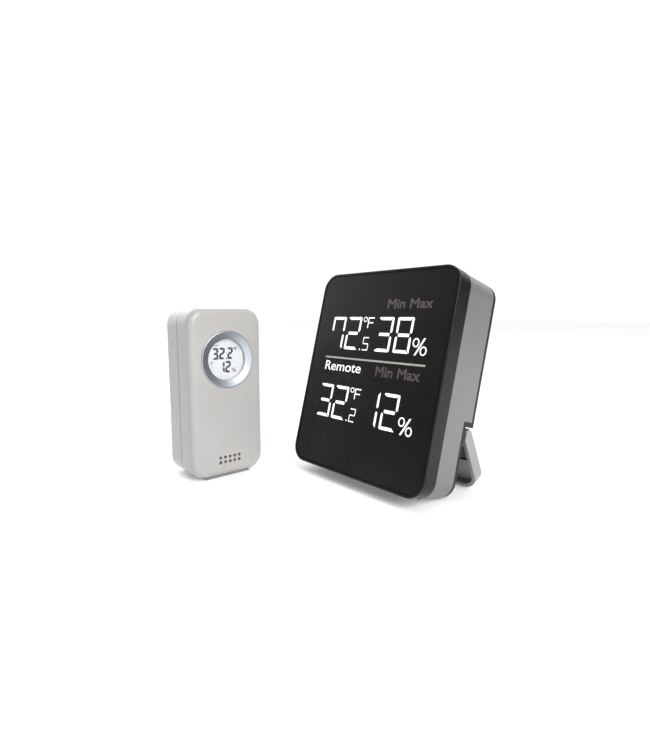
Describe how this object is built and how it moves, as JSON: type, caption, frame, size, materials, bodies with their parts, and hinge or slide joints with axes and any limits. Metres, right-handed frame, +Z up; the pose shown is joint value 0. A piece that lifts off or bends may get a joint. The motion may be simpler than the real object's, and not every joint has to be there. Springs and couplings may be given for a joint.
{
  "type": "maximum minimum thermometer",
  "caption": "Wireless maximum-minimum thermometer and hygrometer: a desk display leaning on a fold-out stand, with a free-standing remote sensor.",
  "frame": {"origin": "middle of the base of the set: display and remote sensor standing as in use", "axes": "+Z up, the display faces -Y, the remote faces +X, +X to the right of a person facing the display"},
  "size_m": [0.1426, 0.1251, 0.1208],
  "materials": {
    "smoked_panel": "gloss, near-black tinted acrylic",
    "black_plastic": "satin black moulded plastic",
    "silver_lacquer": "satin silver lacquer over plastic",
    "lcd_dark": "polarised liquid crystal glass",
    "light_guide": "polished clear-white light guide",
    "white_plastic": "satin white moulded plastic",
    "elastomer": "striped conductive rubber",
    "board_green": "solder mask over glass fibre",
    "chip_black": "matt moulding compound",
    "board_blue": "solder mask over glass fibre",
    "copper_wire": "enamelled copper",
    "screw_steel": "zinc-plated steel",
    "spring_steel": "nickel-plated spring steel",
    "cell_wrap": "printed foil sleeve over a steel can",
    "button_grey": "satin dark grey plastic",
    "foot_rubber": "matt rubber",
    "warm_grey_plastic": "semi-gloss warm grey plastic",
    "bright_metal": "turned and polished aluminium",
    "clear_lens": "clear acrylic lens",
    "lcd_light": "reflective liquid crystal glass",
    "mid_grey_plastic": "satin mid grey plastic",
    "dark_steel": "bead-blasted dark steel"
  },
  "bodies": {
    "display": {"front_panel": "smoked_panel", "front_housing": "black_plastic", "side_frame": "silver_lacquer", "back_cover": "black_plastic", "lcd_glass": "lcd_dark", "backlight": "light_guide", "lcd_holder": "white_plastic", "contact_strips": "elastomer", "main_board": "board_green", "board_chips": "chip_black", "radio_module": "board_blue", "antenna_wire": "copper_wire", "room_sensor": "white_plastic", "board_screws": "screw_steel", "battery_contacts": "spring_steel", "battery_springs": "spring_steel", "upper_cell": "cell_wrap", "lower_cell": "cell_wrap", "button_board": "board_green", "button_switches": "chip_black", "case_screws": "screw_steel", "rubber_feet": "foot_rubber"},
    "stand": {"stand_frame": "silver_lacquer", "stand_panel": "black_plastic", "stand_pins": "screw_steel"},
    "battery_door": {"battery_door": "black_plastic"},
    "max_min_button": {"max_min_button": "button_grey"},
    "clear_button": {"clear_button": "button_grey"},
    "unit_button": {"unit_button": "button_grey"},
    "remote": {"remote_front_shell": "warm_grey_plastic", "remote_rear_shell": "warm_grey_plastic", "remote_ring": "bright_metal", "remote_lens": "clear_lens", "remote_lcd": "lcd_light", "remote_lcd_holder": "white_plastic", "remote_contact_strip": "elastomer", "remote_board": "board_green", "remote_chips": "chip_black", "remote_sensor": "white_plastic", "remote_antenna": "copper_wire", "remote_board_screws": "screw_steel", "remote_contacts": "spring_steel", "remote_springs": "spring_steel", "remote_left_cell": "cell_wrap", "remote_right_cell": "cell_wrap", "remote_button_switch": "chip_black", "remote_case_screws": "screw_steel", "remote_foot_plate": "dark_steel", "remote_foot_screws": "screw_steel"},
    "remote_door": {"remote_door": "warm_grey_plastic"},
    "remote_button": {"remote_button": "mid_grey_plastic"}
  },
  "joints": [
    {"name": "stand_hinge", "type": "hinge", "parent": "display", "child": "stand", "pos_m": [0.021, 0.03871, 0.03338], "axis": [1, 0, 0], "range_deg": [-40.28, 0]},
    {"name": "battery_door_hinge", "type": "hinge", "parent": "display", "child": "battery_door", "pos_m": [0.021, 0.04366, 0.04202], "axis": [-1, 0, 0], "range_deg": [0, 100]},
    {"name": "max_min_button_press", "type": "slide", "parent": "display", "child": "max_min_button", "axis": [0, -0.9686, 0.2487], "range_m": [0, 0.0008], "stiffness_N_per_m": 400},
    {"name": "clear_button_press", "type": "slide", "parent": "display", "child": "clear_button", "axis": [0, -0.9686, 0.2487], "range_m": [0, 0.0008], "stiffness_N_per_m": 400},
    {"name": "unit_button_press", "type": "slide", "parent": "display", "child": "unit_button", "axis": [0, -0.9686, 0.2487], "range_m": [0, 0.0008], "stiffness_N_per_m": 400},
    {"name": "remote_lift", "type": "slide", "parent": "display", "child": "remote", "axis": [0, 0, 1], "range_m": [0, 0.15]},
    {"name": "remote_door_hinge", "type": "hinge", "parent": "remote", "child": "remote_door", "pos_m": [-0.0701, -0.03911, 0.0186], "axis": [0, -1, 0], "range_deg": [0, 100]},
    {"name": "remote_button_press", "type": "slide", "parent": "remote", "child": "remote_button", "axis": [1, 0, 0], "range_m": [0, 0.0008], "stiffness_N_per_m": 400}
  ]
}
